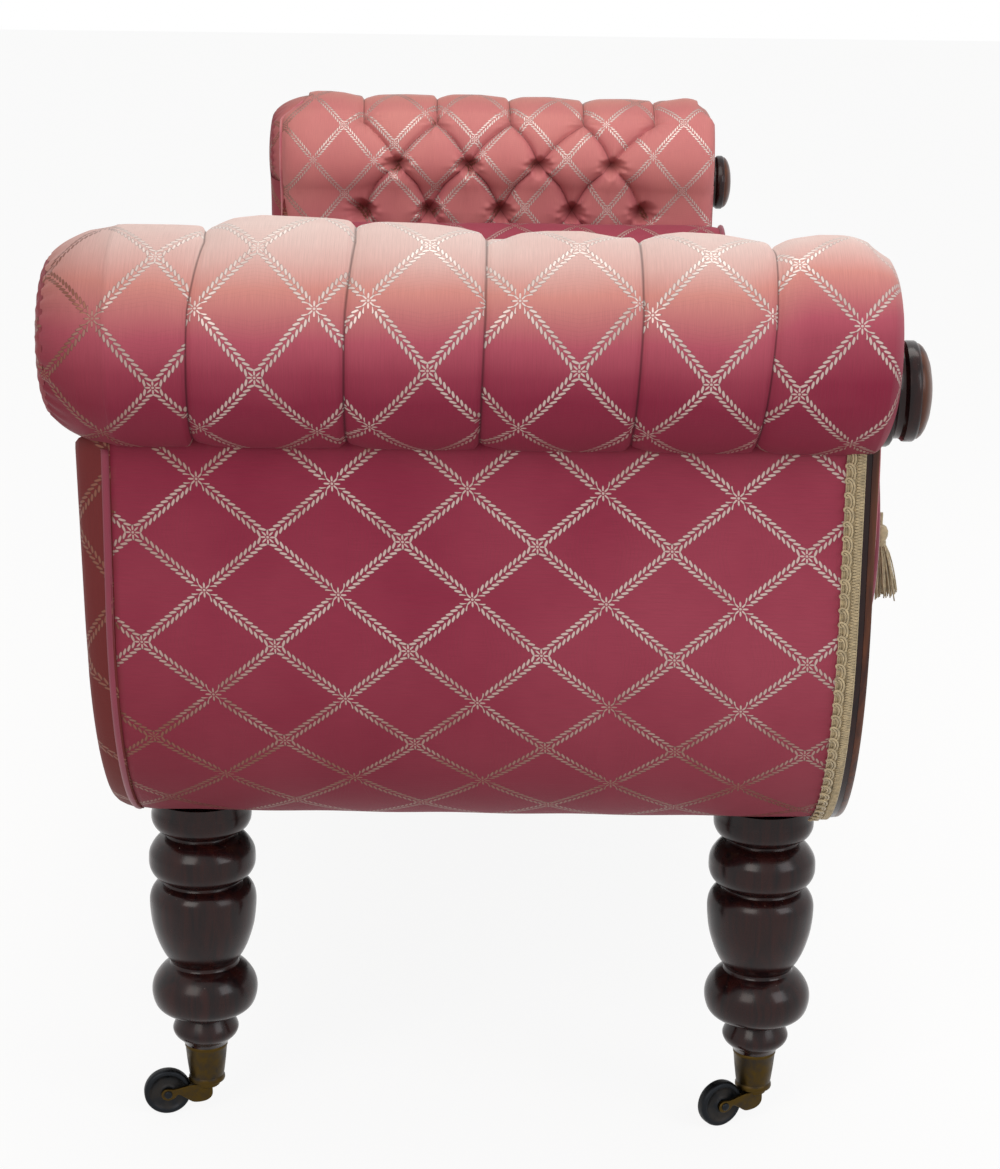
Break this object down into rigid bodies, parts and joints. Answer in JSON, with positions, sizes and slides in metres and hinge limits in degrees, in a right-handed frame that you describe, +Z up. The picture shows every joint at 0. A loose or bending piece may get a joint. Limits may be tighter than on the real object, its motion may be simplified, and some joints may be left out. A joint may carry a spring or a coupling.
{
  "type": "scroll-end settee",
  "caption": "Backless settee with deep-buttoned scroll arms, loose bolsters, polished wood facings and front rail, turned legs and swivelling brass castors.",
  "frame": {"origin": "on the floor under the middle of the seat", "axes": "+X along the seat towards its right end, -Y out of its front, +Z up"},
  "size_m": [1.9502, 0.686, 0.7955],
  "materials": {
    "damask": "satin",
    "mahogany": "gloss",
    "beech": "matte",
    "aged_brass": "satin",
    "dark_iron": "satin",
    "gold_gimp": "satin",
    "horsehair": "matte",
    "jute": "matte",
    "cambric": "matte"
  },
  "bodies": {
    "settee": {"arm_facing_left": "mahogany", "arm_facing_right": "mahogany", "arm_frame_front_left": "beech", "arm_frame_front_right": "beech", "arm_frame_rear_left": "beech", "arm_frame_rear_right": "beech", "arm_rosette_left": "mahogany", "arm_rosette_right": "mahogany", "arm_upholstery_left": "damask", "arm_upholstery_right": "damask", "base_cloth": "cambric", "bolster_left": "damask", "bolster_right": "damask", "braid_left": "gold_gimp", "braid_right": "gold_gimp", "castor_cup_front_left": "aged_brass", "castor_cup_front_right": "aged_brass", "castor_cup_rear_left": "aged_brass", "castor_cup_rear_right": "aged_brass", "corner_block_front_left": "beech", "corner_block_front_right": "beech", "corner_block_rear_left": "beech", "corner_block_rear_right": "beech", "end_panel_left": "damask", "end_panel_right": "damask", "end_rail_left": "beech", "end_rail_right": "beech", "front_seat_rail": "mahogany", "leg_front_left": "mahogany", "leg_front_right": "mahogany", "leg_rear_left": "mahogany", "leg_rear_right": "mahogany", "piping_left": "damask", "piping_right": "damask", "rear_seat_rail": "beech", "rear_side_panel": "damask", "scroll_rail_left": "beech", "scroll_rail_right": "beech", "seat_cover": "damask", "seat_hessian": "jute", "seat_stuffing": "horsehair", "seat_webbing": "jute", "tassel_front_left": "gold_gimp", "tassel_front_right": "gold_gimp", "tassel_rear_left": "gold_gimp", "tassel_rear_right": "gold_gimp"},
    "castor_front_left": {"castor_horn_front_left": "aged_brass", "castor_axle_front_left": "dark_iron"},
    "wheel_front_left": {"castor_wheel_front_left": "dark_iron"},
    "castor_rear_left": {"castor_horn_rear_left": "aged_brass", "castor_axle_rear_left": "dark_iron"},
    "wheel_rear_left": {"castor_wheel_rear_left": "dark_iron"},
    "castor_front_right": {"castor_horn_front_right": "aged_brass", "castor_axle_front_right": "dark_iron"},
    "wheel_front_right": {"castor_wheel_front_right": "dark_iron"},
    "castor_rear_right": {"castor_horn_rear_right": "aged_brass", "castor_axle_rear_right": "dark_iron"},
    "wheel_rear_right": {"castor_wheel_rear_right": "dark_iron"}
  },
  "joints": [
    {"name": "castor_swivel_front_left", "type": "hinge", "parent": "settee", "child": "castor_front_left", "pos_m": [-0.761, -0.2425, 0.029], "axis": [0, 0, 1], "continuous": true},
    {"name": "castor_roll_front_left", "type": "hinge", "parent": "castor_front_left", "child": "wheel_front_left", "pos_m": [-0.77797, -0.21189, 0.0205], "axis": [0.8746, 0.4848, 0], "continuous": true},
    {"name": "castor_swivel_rear_left", "type": "hinge", "parent": "settee", "child": "castor_rear_left", "pos_m": [-0.761, 0.2415, 0.029], "axis": [0, 0, 1], "continuous": true},
    {"name": "castor_roll_rear_left", "type": "hinge", "parent": "castor_rear_left", "child": "wheel_rear_left", "pos_m": [-0.76828, 0.27574, 0.0205], "axis": [0.9781, 0.2079, 0], "continuous": true},
    {"name": "castor_swivel_front_right", "type": "hinge", "parent": "settee", "child": "castor_front_right", "pos_m": [0.761, -0.2425, 0.029], "axis": [0, 0, 1], "continuous": true},
    {"name": "castor_roll_front_right", "type": "hinge", "parent": "castor_front_right", "child": "wheel_front_right", "pos_m": [0.78396, -0.21608, 0.0205], "axis": [0.7547, -0.6561, 0], "continuous": true},
    {"name": "castor_swivel_rear_right", "type": "hinge", "parent": "settee", "child": "castor_rear_right", "pos_m": [0.761, 0.2415, 0.029], "axis": [0, 0, 1], "continuous": true},
    {"name": "castor_roll_rear_right", "type": "hinge", "parent": "castor_rear_right", "child": "wheel_rear_right", "pos_m": [0.77524, 0.27347, 0.0205], "axis": [0.9135, -0.4067, 0], "continuous": true}
  ]
}
